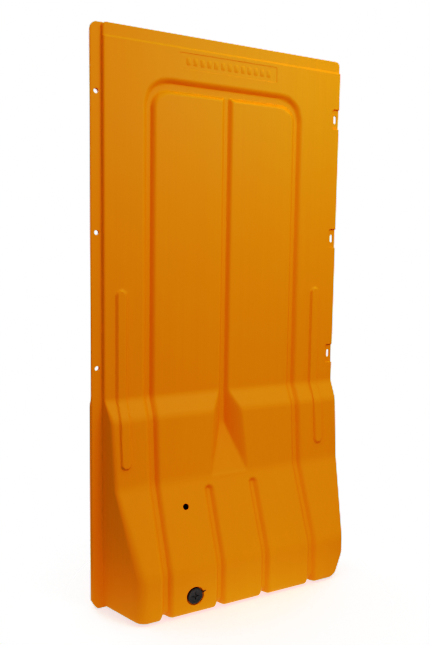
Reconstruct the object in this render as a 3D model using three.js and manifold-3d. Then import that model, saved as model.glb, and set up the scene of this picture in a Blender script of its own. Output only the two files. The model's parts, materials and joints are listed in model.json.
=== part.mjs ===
// A water filled barrier: a hollow polyethylene panel, one metre wide and two metres high, on a water
// foot that stands out in front. It is made of a front skin and a rear skin, with a drain bush, seal and
// screw plug in the foot. Millimetres, +Z up, front towards -Y. Depths in Y are measured from the panel's
// front face, which is Y = 0, and the finished group is moved so that the origin is the middle of its
// footprint.

import * as THREE from "three";
import { mergeVertices } from "three/addons/utils/BufferGeometryUtils.js";
import Module from "manifold-3d";

// Overall size. CLEAR is past every face, for tools that cut right through.
const CLEAR = 300;
const ARC_STEPS = 5;
const ROUND_STEPS = 40;
const HOLE_STEPS = 24;
const WIDTH = 1000;
const HEIGHT = 2000;
const HALF = WIDTH / 2;
const FOOT_OUT = 176;
const REAR_BASE = 44;
const SEE_THROUGH = REAR_BASE + 5;

// Mouldings
const WALL = 5;
const GAP = 0.3;
const PART_Y = 20;
const REAR_PANEL = 28;
const REAR_STEP_TOP = 760;
const REAR_STEP_FOOT = 728;
const REAR_BOTTOM_RADIUS = 12;

// Front profile, from the top band down to the foot
const BAND_SET = 3.5;
const BAND_Z = 1957;
const LEDGE_TOP = 748;
const LEDGE_OUT = 36;
const LEDGE_FOOT = 682;
const BLOCK_OUT = 56;
const SLOPE_TOP = 445;
const SLOPE_FOOT = 166;
const WEDGE_TOP = 628;
const FOOT_RADIUS = 28;
const SLOPE = (FOOT_OUT - BLOCK_OUT) / (SLOPE_TOP - SLOPE_FOOT);

// Left flange, right lip and the drafted side walls
const FLANGE_FRONT = 13.5;
const FLANGE_X = -458.5;
const LEFT_DRAFT = 0.372;
const RIGHT_DRAFT = 0.43;
const LIP_X = 468;
const LIP_BACK = 13;
const LIP_PART = 8.4;
const RIGHT_DRAFT_FROM = 52;
const TOP_LEFT_RADIUS = 25;
const TOP_RIGHT_RADIUS = 18;
const CORNER_CUT = [22, 26];
const LEFT_FOOT_CUT = [24, 36];
const RIGHT_FOOT_CUT = [38, 95];

// Grooves, all about the middle of the pattern
const PATTERN_X = 4;
const GROOVE_DEPTH = 11;
const GROOVE_HALF = 16;
const ARCH_X = 300;
const ARCH_TOP = 1824;
const ARCH_RADIUS = 76;
const REAR_GROOVE_HALF = 8;
const REAR_GROOVE_DEPTH = 6.7;
const REAR_GROOVE_FOOT = 60;
const SHORT_X = 93;
const SHORT_HALF = 12;
const SHORT_TOP = 418;
const ROUND_END_FLAT = 0.5;
const VALLEY_HALF = 28;
const VALLEY_DEPTH = 8;
const VALLEY_FLARE = 1.1;

// Stiffening beads
const BEAD_X = 402;
const BEAD_HALF = 20;
const BEAD_OUT = 7;
const BEAD_FOOT = 512;
const BEAD_TOP = 1130;

// Link holes and pockets
const LINK_Z = [861, 1321, 1781];
const LINK_LEFT_X = -480;
const LINK_LEFT_RADIUS = 8.5;
const LINK_RIGHT_X = 484.5;
const SLOT_HALF_WIDTH = 6.5;
const SLOT_HALF_HEIGHT = 15.5;
const POCKET_X = 467;
const POCKET_HALF_HEIGHT = 38;
const POCKET_FLOOR = 7.5;
const POCKET_RADIUS = 10;

// Blank name panel
const PLATE = { x: 9.5, z: 1914.5, halfWidth: 199.5, halfHeight: 28.5, radius: 8, depth: 1.5 };

// Fill hole and drain
const FILL = { x: -190, z: 362, radius: 10.75 };
const DRAIN_X = -190;
const DRAIN_Z = 69.5;
const RECESS_RADIUS = 33;
const RECESS_DEPTH = 9.5;
const BUSH_RADIUS = 24;
const BUSH_BORE = 20.5;
const BUSH_LENGTH = 32;
const BUSH_FLANGE = { radius: 33, thickness: 4 };
const SEAL = { inner: 21, outer: 28.5, thickness: 2.5, tab: { end: 31.5, length: 9, width: 5, rise: 5 } };
const PLUG = { radius: 28, head: 6, shank: 19.8, shankLength: 23, bore: 14, boreDepth: 17 };
const CROSS = { length: 27, width: 5, depth: 3.5 };

const wasm = await Module();
wasm.setup();

function toSolid(geometry) {
  geometry.deleteAttribute("normal");
  geometry.deleteAttribute("uv");
  const merged = mergeVertices(geometry, 1e-4);
  const mesh = new wasm.Mesh({
    numProp: 3,
    vertProperties: new Float32Array(merged.attributes.position.array),
    triVerts: new Uint32Array(merged.index.array),
  });
  return new wasm.Manifold(mesh);
}

function toGeometry(solid) {
  const mesh = solid.getMesh();
  const geometry = new THREE.BufferGeometry();
  geometry.setAttribute("position", new THREE.BufferAttribute(mesh.vertProperties, 3));
  geometry.setIndex(new THREE.BufferAttribute(mesh.triVerts, 1));
  const faceted = geometry.toNonIndexed();
  faceted.computeVertexNormals();
  return faceted;
}

// A prism of a flat outline between two places on the third axis.
function prism(points, low, high, across, up, along) {
  const drawn = points instanceof THREE.Shape;
  const shape = drawn ? points : new THREE.Shape(points.map(([a, b]) => new THREE.Vector2(a, b)));
  const depth = high - low;
  const geometry = new THREE.ExtrudeGeometry(shape, { depth, bevelEnabled: false, curveSegments: ARC_STEPS });
  geometry.translate(0, 0, low);
  geometry.applyMatrix4(new THREE.Matrix4().makeBasis(across, up, along));
  return toSolid(geometry);
}

const X = new THREE.Vector3(1, 0, 0);
const Y = new THREE.Vector3(0, 1, 0);
const Z = new THREE.Vector3(0, 0, 1);

const prismX = (points, low, high) => prism(points, low, high, Y, Z, X);
const prismY = (points, low, high) => prism(points, -high, -low, X, Z, Y.clone().negate());
const prismZ = (points, low, high) => prism(points, low, high, X, Y, Z);

function roundedRectangle(x, z, halfWidth, halfHeight, radius) {
  const shape = new THREE.Shape();
  const [left, right] = [x - halfWidth, x + halfWidth];
  const [low, high] = [z - halfHeight, z + halfHeight];
  shape.moveTo(left + radius, low);
  shape.lineTo(right - radius, low);
  shape.absarc(right - radius, low + radius, radius, -Math.PI / 2, 0);
  shape.lineTo(right, high - radius);
  shape.absarc(right - radius, high - radius, radius, 0, Math.PI / 2);
  shape.lineTo(left + radius, high);
  shape.absarc(left + radius, high - radius, radius, Math.PI / 2, Math.PI);
  shape.lineTo(left, low + radius);
  shape.absarc(left + radius, low + radius, radius, Math.PI, 1.5 * Math.PI);
  return shape;
}

// A round bar along Y, with its centre at x, z.
function barY(radius, low, high, x, z, sides = ROUND_STEPS) {
  const geometry = new THREE.CylinderGeometry(radius, radius, high - low, sides);
  geometry.translate(x, (low + high) / 2, z);
  return toSolid(geometry);
}

// The outer limit of both skins as seen from the front.
function faceOutline(inset) {
  const [cutX, cutZ] = CORNER_CUT;
  const shape = new THREE.Shape();
  const right = HALF - inset;
  const top = HEIGHT - inset;
  shape.moveTo(-right + cutX, inset);
  shape.lineTo(right - cutX, inset);
  shape.lineTo(right, inset + cutZ);
  shape.lineTo(right, top - TOP_RIGHT_RADIUS);
  shape.absarc(right - TOP_RIGHT_RADIUS, top - TOP_RIGHT_RADIUS, TOP_RIGHT_RADIUS, 0, Math.PI / 2);
  shape.lineTo(-right + TOP_LEFT_RADIUS, top);
  shape.absarc(-right + TOP_LEFT_RADIUS, top - TOP_LEFT_RADIUS, TOP_LEFT_RADIUS, Math.PI / 2, Math.PI);
  shape.lineTo(-right, inset + cutZ);
  return shape;
}

// Side view of everything behind the front surface, moved back by inset and shift, up to the plane at back.
function frontProfile(inset, shift, back) {
  const set = inset + shift;
  const radius = FOOT_RADIUS - inset;
  const shape = new THREE.Shape();
  shape.moveTo(back, HEIGHT - inset);
  shape.lineTo(BAND_SET + set, HEIGHT - inset);
  shape.lineTo(BAND_SET + set, BAND_Z);
  shape.lineTo(set, BAND_Z - BAND_SET);
  shape.lineTo(set, LEDGE_TOP);
  shape.lineTo(set - LEDGE_OUT, LEDGE_FOOT);
  shape.lineTo(set - BLOCK_OUT, SLOPE_TOP);
  shape.lineTo(set - FOOT_OUT, SLOPE_FOOT);
  shape.lineTo(set - FOOT_OUT, inset + radius);
  shape.absarc(set - FOOT_OUT + radius, inset + radius, radius, Math.PI, 1.5 * Math.PI);
  shape.lineTo(back, inset);
  return shape;
}

// Side view of the valley's floor: the groove's floor, then the wedge that comes forward to the slope.
function valleyProfile(inset, back) {
  const floor = GROOVE_DEPTH + inset;
  return [
    [back, HEIGHT],
    [floor, HEIGHT],
    [floor, WEDGE_TOP],
    [inset - BLOCK_OUT, SLOPE_TOP],
    [inset - FOOT_OUT, SLOPE_FOOT],
    [back, SLOPE_FOOT],
  ];
}

// Plan of the front skin: flange, drafted left wall, foot, drafted right wall and lip.
function frontPlan(inset, flangeBack, lipBack) {
  const wall = inset / Math.cos(Math.atan(LEFT_DRAFT));
  const rightAt = (out) => HALF - inset - (out - RIGHT_DRAFT_FROM) * RIGHT_DRAFT;
  const leftAt = (out) => FLANGE_X + wall + out * LEFT_DRAFT;
  const deep = FOOT_OUT + CLEAR / 10;
  const points = [
    [leftAt(deep), -deep],
    [rightAt(deep), -deep],
    [HALF - inset, -RIGHT_DRAFT_FROM],
    [HALF - inset, lipBack],
  ];
  if (inset > 0) {
    points.push([LIP_X - WALL, lipBack], [LIP_X - WALL, flangeBack]);
    return [...points, [leftAt(-flangeBack), flangeBack]];
  }
  const seam = LIP_X - WALL - GAP;
  points.push([seam, lipBack], [seam, flangeBack], [-HALF, flangeBack], [-HALF, FLANGE_FRONT]);
  return [...points, [leftAt(-FLANGE_FRONT), FLANGE_FRONT]];
}

// A sloped cut along the foot's drafted side wall, from the bottom edge up.
function footCut(side, [width, height], inset) {
  const startX = side < 0 ? FLANGE_X : HALF;
  const startOut = side < 0 ? 0 : RIGHT_DRAFT_FROM;
  const section = [
    [-width - inset, -1],
    [width, -1],
    [width, height + inset + 1],
    [0, height + inset],
    [-width - inset, inset],
  ];
  const rear = side < 0 ? FLANGE_FRONT / 2 : 0;
  const bar = prismY(section.map(([a, b]) => [side * a, b]), -CLEAR, rear);
  const draft = side < 0 ? LEFT_DRAFT : RIGHT_DRAFT;
  const turn = side * THREE.MathUtils.radToDeg(Math.atan(draft));
  return bar.rotate([0, 0, -turn]).translate([startX - side * inset, -startOut, 0]);
}

// The arched groove and the groove up its middle, as seen from the front.
function archOutline(half) {
  const outer = roundedRectangle(PATTERN_X, 0, ARCH_X + half, ARCH_TOP + half, ARCH_RADIUS + half);
  outer.holes.push(roundedRectangle(PATTERN_X, 0, ARCH_X - half, ARCH_TOP - half, ARCH_RADIUS - half));
  return outer;
}

function archGroove(half) {
  const arch = prismY(archOutline(half), -CLEAR, CLEAR);
  const middle = roundedRectangle(PATTERN_X, ARCH_TOP / 2, half, ARCH_TOP / 2, 1);
  return arch.add(prismY(middle, -CLEAR, CLEAR));
}

// A groove from below the bottom edge up to a round end on the slope.
function shortGroove(side, half) {
  const x = PATTERN_X + side * SHORT_X;
  const outline = roundedRectangle(x, 0, half, SHORT_TOP, half - ROUND_END_FLAT);
  return prismY(outline, -CLEAR, CLEAR);
}

// The space between the two blocks, which flares forwards, down to the wedge that rises from the slope.
function valley(inset) {
  const half = VALLEY_HALF + inset;
  const deep = 2 * BLOCK_OUT;
  const wide = half + (deep - VALLEY_DEPTH) * VALLEY_FLARE;
  const plan = [
    [-half, GROOVE_DEPTH + inset],
    [-half, -VALLEY_DEPTH],
    [-wide, -deep],
    [wide, -deep],
    [half, -VALLEY_DEPTH],
    [half, GROOVE_DEPTH + inset],
  ];
  const placed = plan.map(([x, y]) => [x + PATTERN_X, y]);
  const space = prismZ(placed, SLOPE_TOP - BLOCK_OUT, LEDGE_TOP + LEDGE_OUT);
  return space.subtract(prismX(valleyProfile(inset, CLEAR), -HALF, HALF));
}

function bead(side) {
  const x = PATTERN_X + side * BEAD_X;
  const middle = (BEAD_TOP + BEAD_FOOT) / 2;
  const halfHeight = (BEAD_TOP - BEAD_FOOT) / 2;
  const shape = roundedRectangle(x, middle, BEAD_HALF, halfHeight, BEAD_HALF - ROUND_END_FLAT);
  const raised = prismX(frontProfile(0, -BEAD_OUT, WALL), x - 2 * BEAD_HALF, x + 2 * BEAD_HALF);
  return prismY(shape, -CLEAR, WALL).intersect(raised);
}

// The front skin's outer form, or with an inset the hollow inside it, open to the rear.
function frontForm(inset) {
  const hollow = inset > 0;
  const back = hollow ? PART_Y + WALL : PART_Y;
  const plan = frontPlan(inset, back, hollow ? LIP_PART + WALL : LIP_PART);
  let form = prismX(frontProfile(inset, 0, back), -HALF - 1, HALF + 1)
    .intersect(prismZ(plan, -1, HEIGHT + 1))
    .intersect(prismY(faceOutline(inset), -CLEAR, CLEAR));
  const floor = prismX(frontProfile(inset, GROOVE_DEPTH, CLEAR), -HALF - 1, HALF + 1);
  const grooves = [archGroove(GROOVE_HALF + inset)];
  for (const side of [-1, 1]) {
    grooves.push(shortGroove(side, SHORT_HALF + inset));
  }
  for (const groove of grooves) {
    form = form.subtract(groove.subtract(floor));
  }
  form = form.subtract(valley(inset));
  form = form.subtract(footCut(-1, LEFT_FOOT_CUT, inset));
  return form.subtract(footCut(1, RIGHT_FOOT_CUT, inset));
}

function pocket(z, grow, low, high) {
  const halfHeight = POCKET_HALF_HEIGHT + grow;
  const left = POCKET_X - grow;
  const halfWidth = HALF - left;
  const shape = roundedRectangle(left + halfWidth, z, halfWidth, halfHeight, POCKET_RADIUS + grow);
  return prismY(shape, low, high);
}

function fillHole() {
  const out = BLOCK_OUT + (SLOPE_TOP - FILL.z) * SLOPE;
  const geometry = new THREE.CylinderGeometry(FILL.radius, FILL.radius, 10 * WALL, HOLE_STEPS);
  geometry.rotateX(-Math.atan(SLOPE));
  geometry.translate(FILL.x, -out, FILL.z);
  return toSolid(geometry);
}

function frontSkin() {
  let skin = frontForm(0);
  let hollow = frontForm(WALL);
  const recessFloor = RECESS_DEPTH - FOOT_OUT;
  const cup = barY(RECESS_RADIUS + WALL, -FOOT_OUT, recessFloor + WALL, DRAIN_X, DRAIN_Z);
  hollow = hollow.subtract(cup);
  const edge = prismY(faceOutline(0), -CLEAR, LIP_BACK);
  const plate = roundedRectangle(PLATE.x, PLATE.z, PLATE.halfWidth, PLATE.halfHeight, PLATE.radius);
  const cuts = [
    barY(RECESS_RADIUS, -CLEAR, recessFloor, DRAIN_X, DRAIN_Z),
    barY(BUSH_RADIUS + GAP, -CLEAR, recessFloor + 2 * WALL, DRAIN_X, DRAIN_Z),
    fillHole(),
    prismY(plate, -CLEAR, PLATE.depth),
  ];
  for (const z of LINK_Z) {
    const boss = pocket(z, WALL, GAP, LIP_BACK).intersect(edge);
    hollow = hollow.subtract(boss);
    skin = skin.add(boss);
    cuts.push(pocket(z, 0, -CLEAR, POCKET_FLOOR));
    const end = SLOT_HALF_WIDTH - ROUND_END_FLAT;
    const slot = roundedRectangle(LINK_RIGHT_X, z, SLOT_HALF_WIDTH, SLOT_HALF_HEIGHT, end);
    cuts.push(prismY(slot, -CLEAR, SEE_THROUGH));
    cuts.push(barY(LINK_LEFT_RADIUS, 0, SEE_THROUGH, LINK_LEFT_X, z, HOLE_STEPS));
  }
  skin = skin.subtract(hollow);
  for (const side of [-1, 1]) {
    skin = skin.add(bead(side));
  }
  for (const cut of cuts) {
    skin = skin.subtract(cut);
  }
  return skin;
}

// Side view of everything in front of the rear surface.
function rearProfile(inset, shift, front) {
  const panel = REAR_PANEL - inset - shift;
  const base = REAR_BASE - inset - shift;
  const radius = REAR_BOTTOM_RADIUS - inset;
  const shape = new THREE.Shape();
  shape.moveTo(front, inset);
  shape.lineTo(base - radius, inset);
  shape.absarc(base - radius, inset + radius, radius, -Math.PI / 2, 0);
  shape.lineTo(base, REAR_STEP_FOOT);
  shape.lineTo(panel, REAR_STEP_TOP);
  shape.lineTo(panel, HEIGHT - inset);
  shape.lineTo(front, HEIGHT - inset);
  return shape;
}

function rearChannels(inset) {
  const floor = prismX(rearProfile(inset, REAR_GROOVE_DEPTH, -CLEAR), -HALF - 1, HALF + 1);
  const foot = REAR_GROOVE_FOOT - inset;
  const below = prismX([[-CLEAR, -HEIGHT], [CLEAR, -HEIGHT], [CLEAR, foot], [-CLEAR, foot]], -HALF, HALF);
  return archGroove(REAR_GROOVE_HALF + inset).subtract(floor).subtract(below);
}

function rearForm() {
  const front = PART_Y + GAP;
  const seam = LIP_X - WALL;
  const lipFront = LIP_PART + GAP;
  const plan = [
    [-HALF, front],
    [seam, front],
    [seam, lipFront],
    [HALF, lipFront],
    [HALF, LIP_BACK],
    [LIP_X, LIP_BACK],
    [LIP_X, SEE_THROUGH],
    [-HALF, SEE_THROUGH],
  ];
  return prismX(rearProfile(0, 0, 0), -HALF - 1, HALF + 1)
    .intersect(prismZ(plan, -1, HEIGHT + 1))
    .intersect(prismY(faceOutline(0), 0, CLEAR));
}

// The rear half of the hollow: the flange is solid beside the panel and hollow beside the base.
function rearHollow() {
  const profile = prismX(rearProfile(WALL, 0, 0), -HALF - 1, HALF + 1);
  const right = LIP_X - WALL - 2 * GAP;
  const plan = (left) => [[left, 0], [right, 0], [right, SEE_THROUGH], [left, SEE_THROUGH]];
  const behindPanel = prismZ(plan(FLANGE_X + WALL), 0, HEIGHT);
  const behindFlange = prismZ(plan(WALL - HALF), CORNER_CUT[1] + WALL, REAR_STEP_FOOT - WALL);
  return behindPanel.add(behindFlange).intersect(profile);
}

// The channels reach forward until their inner faces meet those of the front grooves.
function rearSkin() {
  let skin = rearForm().subtract(rearHollow());
  const meeting = GROOVE_DEPTH + WALL + GAP;
  const reach = prismX(rearProfile(0, 0, meeting), FLANGE_X, LIP_X - 2 * WALL);
  skin = skin.add(rearChannels(WALL).intersect(reach)).subtract(rearChannels(0));
  for (const z of LINK_Z) {
    skin = skin.subtract(pocket(z, WALL + GAP, 0, LIP_BACK + 1));
    skin = skin.subtract(barY(LINK_LEFT_RADIUS, 0, SEE_THROUGH, LINK_LEFT_X, z, HOLE_STEPS));
  }
  return skin;
}

// The drain fitting's pieces are turned about the drain's axis. Each profile is radius and depth in Y.
function turned(profile) {
  const geometry = new THREE.LatheGeometry(profile.map(([r, y]) => new THREE.Vector2(r, y)), ROUND_STEPS);
  geometry.translate(DRAIN_X, 0, DRAIN_Z);
  return toSolid(geometry);
}

const SEAT = RECESS_DEPTH - FOOT_OUT;

function drainBush() {
  const flangeFront = SEAT + WALL + GAP;
  const flangeBack = flangeFront + BUSH_FLANGE.thickness;
  return turned([
    [BUSH_BORE, SEAT],
    [BUSH_RADIUS, SEAT],
    [BUSH_RADIUS, flangeFront],
    [BUSH_FLANGE.radius, flangeFront],
    [BUSH_FLANGE.radius, flangeBack],
    [BUSH_RADIUS, flangeBack],
    [BUSH_RADIUS, SEAT + BUSH_LENGTH],
    [BUSH_BORE, SEAT + BUSH_LENGTH],
    [BUSH_BORE, SEAT],
  ]);
}

function drainSeal() {
  const back = SEAT - GAP;
  const front = back - SEAL.thickness;
  const ring = turned([
    [SEAL.inner, front],
    [SEAL.outer, front],
    [SEAL.outer, back],
    [SEAL.inner, back],
    [SEAL.inner, front],
  ]);
  const { end, length, width, rise } = SEAL.tab;
  const outline = roundedRectangle(DRAIN_X + end - length / 2, DRAIN_Z + rise, length / 2, width / 2, 1);
  return ring.add(prismY(outline, front, back));
}

function drainPlug() {
  const headBack = SEAT - 2 * GAP - SEAL.thickness;
  const headFront = headBack - PLUG.head;
  const end = headBack + PLUG.shankLength;
  const body = turned([
    [0, headFront],
    [PLUG.radius - 1, headFront],
    [PLUG.radius, headFront + 1],
    [PLUG.radius, headBack],
    [PLUG.shank, headBack],
    [PLUG.shank, end],
    [PLUG.bore, end],
    [PLUG.bore, end - PLUG.boreDepth],
    [0, end - PLUG.boreDepth],
  ]);
  const slot = (halfWidth, halfHeight) => {
    const shape = roundedRectangle(DRAIN_X, DRAIN_Z, halfWidth, halfHeight, 1);
    return prismY(shape, headFront - 1, headFront + CROSS.depth);
  };
  const cross = slot(CROSS.length / 2, CROSS.width / 2).add(slot(CROSS.width / 2, CROSS.length / 2));
  return body.subtract(cross);
}

const polyethylene = { color: 0xd8860c, roughness: 0.5, metalness: 0 };
const bushPlastic = { color: 0x2a2a2a, roughness: 0.5, metalness: 0 };
const plugPlastic = { color: 0x262626, roughness: 0.45, metalness: 0 };
const rubber = { color: 0x161616, roughness: 0.8, metalness: 0 };

const barrier = new THREE.Group();

function addPart(name, solid, finish) {
  const mesh = new THREE.Mesh(toGeometry(solid), new THREE.MeshStandardMaterial(finish));
  mesh.name = name;
  barrier.add(mesh);
}

addPart("front_skin", frontSkin(), polyethylene);
addPart("rear_skin", rearSkin(), polyethylene);
addPart("drain_bush", drainBush(), bushPlastic);
addPart("drain_seal", drainSeal(), rubber);
addPart("drain_plug", drainPlug(), plugPlastic);
barrier.position.y = (FOOT_OUT - REAR_BASE) / 2;

export default barrier;
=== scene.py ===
"""A water filled barrier, one metre wide and two metres high, as an add-on that is run as a script.

The moulding's two skins are made here as fine meshes over the CAD frame. Every row of a skin is a level
section of the outer form, with its drafted walls and round edges, and the skin is that surface given its
wall thickness.
The drain fitting is turned in mesh code. Everything is in metres, +Z up, with the front towards -Y.
"""

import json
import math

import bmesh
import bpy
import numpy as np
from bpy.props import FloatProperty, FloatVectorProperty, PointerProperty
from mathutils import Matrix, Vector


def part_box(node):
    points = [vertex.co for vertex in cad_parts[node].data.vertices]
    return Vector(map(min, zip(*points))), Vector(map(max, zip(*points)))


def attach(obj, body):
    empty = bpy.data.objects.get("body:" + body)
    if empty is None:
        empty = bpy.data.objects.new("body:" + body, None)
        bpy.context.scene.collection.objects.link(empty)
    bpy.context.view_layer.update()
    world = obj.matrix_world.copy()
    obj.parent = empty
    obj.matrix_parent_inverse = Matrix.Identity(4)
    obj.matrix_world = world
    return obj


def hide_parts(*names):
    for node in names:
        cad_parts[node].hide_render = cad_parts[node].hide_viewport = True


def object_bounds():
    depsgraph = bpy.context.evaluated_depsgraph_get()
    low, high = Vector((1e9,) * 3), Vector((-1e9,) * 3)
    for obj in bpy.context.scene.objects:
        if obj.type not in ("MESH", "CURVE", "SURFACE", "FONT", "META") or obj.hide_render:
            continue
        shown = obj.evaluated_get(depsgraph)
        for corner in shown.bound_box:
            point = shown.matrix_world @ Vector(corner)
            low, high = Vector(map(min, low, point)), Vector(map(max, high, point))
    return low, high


bl_info = {
    "name": "Water Filled Barrier",
    "version": (1, 0, 0),
    "blender": (4, 5, 0),
    "location": "View3D > Sidebar > Barrier",
    "description": "Makes the moulded skins, the drain fitting and the studio of a water filled barrier",
    "category": "Add Mesh",
}

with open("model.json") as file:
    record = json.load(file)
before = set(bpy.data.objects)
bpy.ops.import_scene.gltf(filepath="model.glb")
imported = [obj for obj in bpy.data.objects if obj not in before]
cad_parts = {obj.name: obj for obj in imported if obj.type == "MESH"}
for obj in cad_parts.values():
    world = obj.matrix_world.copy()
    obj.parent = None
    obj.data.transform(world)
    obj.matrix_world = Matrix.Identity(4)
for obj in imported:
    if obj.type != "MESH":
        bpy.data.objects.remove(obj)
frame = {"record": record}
CAD_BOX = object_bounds()
MOUNTS = {m["name"]: Vector(m["pos_m"]) for m in frame["record"]["mounts"]}
MM = 0.001

# The moulding's planes, from the frame. Depths called "out" are measured forwards from the panel's
# front face.
SKIN_LOW, SKIN_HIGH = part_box("front_skin")
LEFT, RIGHT = SKIN_LOW.x, SKIN_HIGH.x
TOP = SKIN_HIGH.z
LIP_THICKNESS = 13 * MM
FACE_Y = MOUNTS["right_lip_face"].y - LIP_THICKNESS
FOOT_OUT = FACE_Y - SKIN_LOW.y
FLANGE_OUT = FACE_Y - MOUNTS["left_flange_face"].y
PART_OUT = FACE_Y - SKIN_HIGH.y
LIP_PART_OUT = -8.4 * MM
PANEL_BACK = FACE_Y - MOUNTS["rear_panel_face"].y
BASE_BACK = FACE_Y - MOUNTS["rear_base_face"].y
SEAM_GAP = 0.3 * MM

# Side view of the front
BAND_Z = 1957 * MM
BAND_SET = 3.5 * MM
BAND_SIDE = 2.5 * MM
LEDGE_TOP = 748 * MM
LEDGE_FOOT = 682 * MM
LEDGE_OUT = 36 * MM
SLOPE_TOP = 445 * MM
BLOCK_OUT = 56 * MM
SLOPE_FOOT = 166 * MM
FOOT_RADIUS = 28 * MM
TOP_RADIUS = 2.5 * MM

# Plan of the front
FLANGE_X = -458.5 * MM
LEFT_DRAFT = 0.372
LEFT_FOOT_RADIUS = 24 * MM
LEFT_TOP_RADIUS = 14 * MM
FLANGE_EDGE = 2 * MM
FLANGE_HOLLOW = 3 * MM
RIGHT_DRAFT = 0.43
DRAFT_FROM = 46 * MM
DRAFT_SOFT = 10 * MM
TOP_LEFT_RADIUS = 25 * MM
TOP_RIGHT_RADIUS = 18 * MM
CORNER_CUT = (24 * MM, 26 * MM)
RIGHT_CUT = (36 * MM, 98 * MM)

# Grooves, valley and beads, about the middle of the pattern
PATTERN_X = 4 * MM
GROOVE_DEPTH = 15 * MM
GROOVE_FLOOR = 8 * MM
GROOVE_SHOULDER = 15 * MM
ARCH_X = 300 * MM
ARCH_TOP = 1823 * MM
ARCH_RADIUS = 76 * MM
ARCH_BULGE = 1.8
SHORT_X = 92.5 * MM
SHORT_TOP = 401 * MM
SHORT_FLOOR = 7 * MM
SHORT_DEPTH = 14 * MM
UNDERCUT = 1.1
UNDERCUT_HEIGHT = 42 * MM
VALLEY_SHOULDER = 58 * MM
WEDGE_TOP = 628 * MM
BEAD_X = 402 * MM
BEAD_HALF = 20.5 * MM
BEAD_SIDE = 6 * MM
BEAD_OUT = 8 * MM
BEAD_ENDS = (512 * MM, 1130 * MM)

# Link holes, pockets, blank panel, fill hole and drain
LINK_LEVELS = [861 * MM, 1321 * MM, 1781 * MM]
LINK_LEFT_X = -480 * MM
LINK_RADIUS = 8.5 * MM
LINK_RIGHT_X = 484.5 * MM
SLOT_HALF = (6.5 * MM, 15.5 * MM)
POCKET_X = 467 * MM
POCKET_HALF = 38 * MM
POCKET_RADIUS = 11 * MM
POCKET_DEPTH = 7.5 * MM
POCKET_WALL = 4 * MM
BAR_COUNT = 13
BAR_PITCH = 27 * MM
PANEL_CENTRE = (9.5 * MM, 1914.5 * MM)
PANEL_HALF = (199.5 * MM, 28.5 * MM)
PANEL_DEPTH = 1.5 * MM
FILL_PLACE = (-190 * MM, 362 * MM)
FILL_RADIUS = 10.75 * MM
BUSH_LOW, BUSH_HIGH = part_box("drain_bush")
DRAIN = Vector(((BUSH_LOW.x + BUSH_HIGH.x) / 2, BUSH_LOW.y, (BUSH_LOW.z + BUSH_HIGH.z) / 2))
RECESS_RADIUS = 33 * MM

# Rear
REAR_STEP = (728 * MM, 760 * MM)
REAR_EDGE = 6 * MM
REAR_BOTTOM = 12 * MM
TRAY_RIGHT = 468 * MM
CHANNEL_DEPTH = 6.7 * MM
CHANNEL_FOOT = 60 * MM


# --------------------------------------------------------------------------------------------------
# Shapes in formulas


def ramp(t, r):
    """0 below -r, t above r, and a parabola between, so that a knee is round."""
    t = np.asarray(t, float)
    return np.where(t <= -r, 0.0, np.where(t >= r, t, (t + r) ** 2 / (4 * r)))


def soft_min(a, b, r):
    return a - ramp(a - b, r)


def step(t):
    """A smooth step from 0 at t = 0 to 1 at t = 1."""
    t = np.clip(t, 0.0, 1.0)
    return t * t * (3 - 2 * t)


def edge_drop(distance, radius):
    """How far a round edge of that radius has fallen back, at a distance from the edge."""
    d = np.clip(distance, 0.0, radius)
    return radius - np.sqrt(np.maximum(radius**2 - (radius - d) ** 2, 0.0))


def front_profile(z):
    """How far the front stands out at each height, without grooves: panel, ledge, block, slope and foot."""
    ledge = LEDGE_OUT / (LEDGE_TOP - LEDGE_FOOT)
    block = (BLOCK_OUT - LEDGE_OUT) / (LEDGE_FOOT - SLOPE_TOP)
    slope = (FOOT_OUT - BLOCK_OUT) / (SLOPE_TOP - SLOPE_FOOT)
    out = ledge * ramp(LEDGE_TOP - z, 12 * MM)
    out = out + (block - ledge) * ramp(LEDGE_FOOT - z, 14 * MM)
    out = out + (slope - block) * ramp(SLOPE_TOP - z, 18 * MM)
    out = out - slope * ramp(SLOPE_FOOT - z, 22 * MM)
    out = out - BAND_SET * step((z - BAND_Z) / (7 * MM) + 0.5)
    return out - edge_drop(TOP - z, TOP_RADIUS)


def groove(distance, floor, shoulder, depth, bulge=1.5):
    """Depth of a groove at a distance from its middle line, from a flat floor to a soft shoulder."""
    along = ramp(distance - floor, 2 * MM) / shoulder
    return depth * np.maximum(1 - along, 0.0) ** bulge


def to_corner(across, up):
    """Distance outside a right-angled corner, round its point, and negative inside it."""
    outside = np.hypot(np.maximum(across, 0.0), np.maximum(up, 0.0))
    return outside + np.minimum(np.maximum(across, up), 0.0)


def to_arch(x, z):
    """Distance from the middle line of the arched groove."""
    half = ARCH_X - ARCH_RADIUS
    across = np.abs(x - PATTERN_X) - half
    up = z - (ARCH_TOP - ARCH_RADIUS)
    return np.abs(to_corner(across, up) - ARCH_RADIUS)


def to_stick(x, z, middle, low, high):
    """Distance from an upright line between two heights."""
    return np.hypot(x - middle, np.maximum(np.maximum(low - z, z - high), 0.0))


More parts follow.
